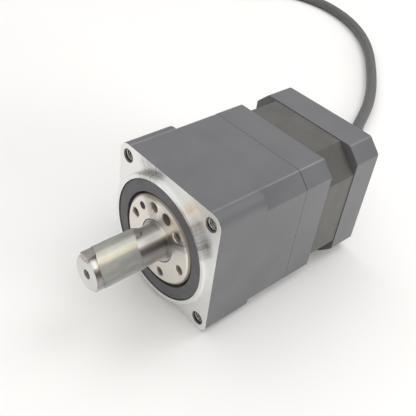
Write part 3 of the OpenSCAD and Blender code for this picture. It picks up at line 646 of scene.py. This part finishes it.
def connector_place():
    """The end of the cable and the direction in which it leads on."""
    curve = smooth_curve(ROUTE, 2)
    return curve[-1], curve[-1] - curve[-2]


def make_connector_sleeve():
    """The short moulded sleeve that holds the cable at the connector, flat underneath."""
    end, heading = connector_place()
    heading = Vector((heading.x, heading.y, 0)).normalized()
    profile = ribbed_profile(cable_d / 2 + 0.03, 4.9, 4.0, 13, 4)
    rings = lathe_along(profile, (end, -heading), 48)
    for ring in rings:
        for point in ring:
            point.z = max(point.z, table_z + 0.01)
    return new_piece("connector_sleeve", *lofted(rings, closed_loop=True), CASE, "seal_rubber",
                     MATERIALS["seal_rubber"])


def make_connector_ribs():
    """Grip ribs on both sides of the connector."""
    end, heading = connector_place()
    heading = Vector((heading.x, heading.y, 0)).normalized()
    across = heading.cross(Vector((0, 0, 1)))
    parts = []
    for side in (-1, 1):
        for i in range(5):
            middle = end + heading * (4.0 + 1.6 * i) + across * side * 9.5
            middle.z = table_z + 5.75
            rings = []
            for height, thick, proud in ((-4.2, 0.15, 0.0), (-3.9, 0.4, 0.35), (3.9, 0.4, 0.35),
                                         (4.2, 0.15, 0.0)):
                rings.append([
                    middle + heading * (thick * a) + across * side * (proud * b - 0.05)
                    + Vector((0, 0, height))
                    for a, b in ((-1, 0), (-0.7, 0.8), (0, 1), (0.7, 0.8), (1, 0), (0, -0.3))])
            parts.append(lofted(rings))
    return new_piece("connector_ribs", *merged(parts), CASE, "connector_plastic",
                     MATERIALS["connector_plastic"])


def make_cable():
    centres = smooth_curve(ROUTE, 8)
    rings = []
    for i, centre in enumerate(centres):
        along = (centres[min(i + 1, len(centres) - 1)] - centres[max(i - 1, 0)]).normalized()
        rings.append(ring_about(centre, along, cable_d / 2 - 0.01, 32))
    verts, faces = lofted(rings)
    cable = new_piece("cable", verts, faces, CASE, "cable_jacket", MATERIALS["cable_jacket"])
    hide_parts("motor_cable")
    make_boot()
    make_connector_sleeve()
    make_connector_ribs()


make_cable()


# ---- Screw threads in the tapped holes ---------------------------------------------------------

def thread_ridge(x, z, y_front, y_back, major_r, pitch, depth):
    """The helical ridge that a tapped hole has on its wall."""
    steps = 28
    turns = (y_back - y_front) / pitch
    total = int(turns * steps)
    rings = []
    for i in range(total + 1):
        angle = 2 * math.pi * i / steps
        y = y_front + pitch * i / steps
        grow = min(1, i / steps * 2, (total - i) / steps * 2)
        inner = major_r - max(depth * grow, 0.02)
        outer = major_r + 0.03
        rings.append([
            (x + r * math.cos(angle), y + dy, z + r * math.sin(angle))
            for r, dy in ((outer, -0.46 * pitch), (inner, -0.07 * pitch),
                          (inner, 0.07 * pitch), (outer, 0.46 * pitch))])
    return lofted(rings)


def make_threads():
    corner = [
        thread_ridge(x * hole_at, z * hole_at, 0.9, hole_depth - 0.5, hole_r, 0.8, 0.43)
        for x in (-1, 1) for z in (-1, 1)]
    new_piece("corner_threads", *merged(corner), CASE, "case_paint", MATERIALS["thread_metal"])
    flange = []
    for i in range(6):
        angle = math.radians(key_angle + 60 * i)
        flange.append(thread_ridge(
            flange_circle_r * math.cos(angle), flange_circle_r * math.sin(angle),
            flange_face_y + 0.7, flange_face_y + flange_hole_depth - 0.4, flange_hole_r, 0.7, 0.38))
    new_piece("flange_threads", *merged(flange), OUTPUT, "flange_steel", MATERIALS["flange_steel"])


make_threads()


# ---- Protective film round the shaft and its key -----------------------------------------------

def film_radius(angle, gap):
    """Radius of the tightly drawn film at an angle from the key's direction."""
    top = key_top_r + gap
    side = key_w / 2 + gap
    r = shaft_r + gap
    reach = math.hypot(top, side)
    corner = math.atan2(side, top)
    touch = corner + math.acos(r / reach)
    angle = abs((angle + math.pi) % (2 * math.pi) - math.pi)
    if angle <= corner:
        return top / math.cos(angle)
    if angle <= touch:
        return r / math.cos(touch - angle)
    return r


def make_film():
    around, lengthwise = 144, 40
    key = math.radians(key_angle)
    rings = []
    for j in range(lengthwise + 1):
        t = j / lengthwise
        ring = []
        for i in range(around):
            angle = 2 * math.pi * i / around
            front = -30.2 - 3.0 * math.cos(angle - math.radians(32)) + 0.12 * math.sin(5 * angle)
            back = -11.8 - 3.9 * math.cos(angle - math.radians(35)) + 0.15 * math.sin(4 * angle)
            y = front + (back - front) * t
            crease = noise.noise(Vector((math.cos(angle) * 2.2, y * 0.16, math.sin(angle) * 2.2)))
            lift = 0.06 + 0.09 * max(0, crease + 0.25)
            r = film_radius(angle - key, 0.04 + lift)
            ring.append((r * math.cos(angle), y, r * math.sin(angle)))
        rings.append(ring)
    verts, faces = lofted(rings, closed_ends=False)
    film = new_piece("film_sleeve", verts, faces, OUTPUT, "film", MATERIALS["film"])
    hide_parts("shaft_film")
    thick = film.modifiers.new("thickness", "SOLIDIFY")
    thick.thickness = 0.08 * MM
    thick.offset = 1
    return film


make_film()


# ---- Floor and light ---------------------------------------------------------------------------

WORLD_LIGHT = 0.95
DARK_SIDE = (0.78, 0.557, 0.29)
FLOOR_HALF = 12.0


def make_floor():
    n = Nodes("floor")
    n.set(
        Base_Color=n.ramp(n.noise(6, 2), [(0.3, (0.86, 0.85, 0.835)), (0.7, (0.88, 0.87, 0.855))]),
        Roughness=0.9,
    )
    half = FLOOR_HALF
    mesh = bpy.data.meshes.new("floor")
    z = table_z * MM - 0.00005
    mesh.from_pydata([(-half, -half, z), (half, -half, z), (half, half, z), (-half, half, z)], [],
                     [(0, 1, 2, 3)])
    mesh.materials.append(n.material)
    floor = bpy.data.objects.new("floor", mesh)
    bpy.context.scene.collection.objects.link(floor)


def soft_light(name, place, size, power, color=(1, 1, 1), aim=(0, 0.03, 0), in_reflections=True):
    data = bpy.data.lights.new(name, "AREA")
    data.shape = "RECTANGLE"
    data.size, data.size_y = size
    data.energy = power
    data.color = color
    light = bpy.data.objects.new(name, data)
    light.location = place
    light.visible_glossy = in_reflections
    light.rotation_euler = (Vector(aim) - Vector(place)).to_track_quat("-Z", "Y").to_euler()
    bpy.context.scene.collection.objects.link(light)


def make_world():
    """A bright ceiling over a dimmer room, with one dark warm side behind the object."""
    world = bpy.data.worlds.new("studio")
    world.use_nodes = True
    tree = world.node_tree
    way = tree.nodes.new("ShaderNodeTexCoord").outputs["Generated"]

    axes = tree.nodes.new("ShaderNodeSeparateXYZ")
    tree.links.new(way, axes.inputs[0])
    room = color_ramp(tree, axes.outputs[2], [
        (0.0, (0.30, 0.29, 0.28)), (0.32, (0.46, 0.45, 0.435)), (0.50, (1.02, 1.01, 0.995)),
        (0.8, (1.0, 1.0, 1.0))])
    toward = tree.nodes.new("ShaderNodeVectorMath")
    toward.operation = "DOT_PRODUCT"
    tree.links.new(way, toward.inputs[0])
    toward.inputs[1].default_value = Vector(DARK_SIDE).normalized()
    dark = color_ramp(tree, toward.outputs["Value"], [(0.89, (0, 0, 0)), (0.95, (1, 1, 1))])
    mixed = tree.nodes.new("ShaderNodeMix")
    mixed.data_type = "RGBA"
    tree.links.new(dark, mixed.inputs[0])
    tree.links.new(room, mixed.inputs[6])
    mixed.inputs[7].default_value = (0.13, 0.10, 0.08, 1)
    background = tree.nodes["Background"]
    tree.links.new(mixed.outputs[2], background.inputs[0])
    background.inputs[1].default_value = WORLD_LIGHT
    bpy.context.scene.world = world


make_floor()
make_world()
soft_light("overhead_rear", (0.17, 0.67, 0.98), (0.62, 0.62), 2.8, in_reflections=False)
soft_light("overhead_left", (-0.6, 0.1, 0.85), (0.6, 0.6), 1.2, in_reflections=False)
soft_light("right_rear", (0.95, 0.35, 0.30), (0.7, 0.5), 5.0, in_reflections=False)
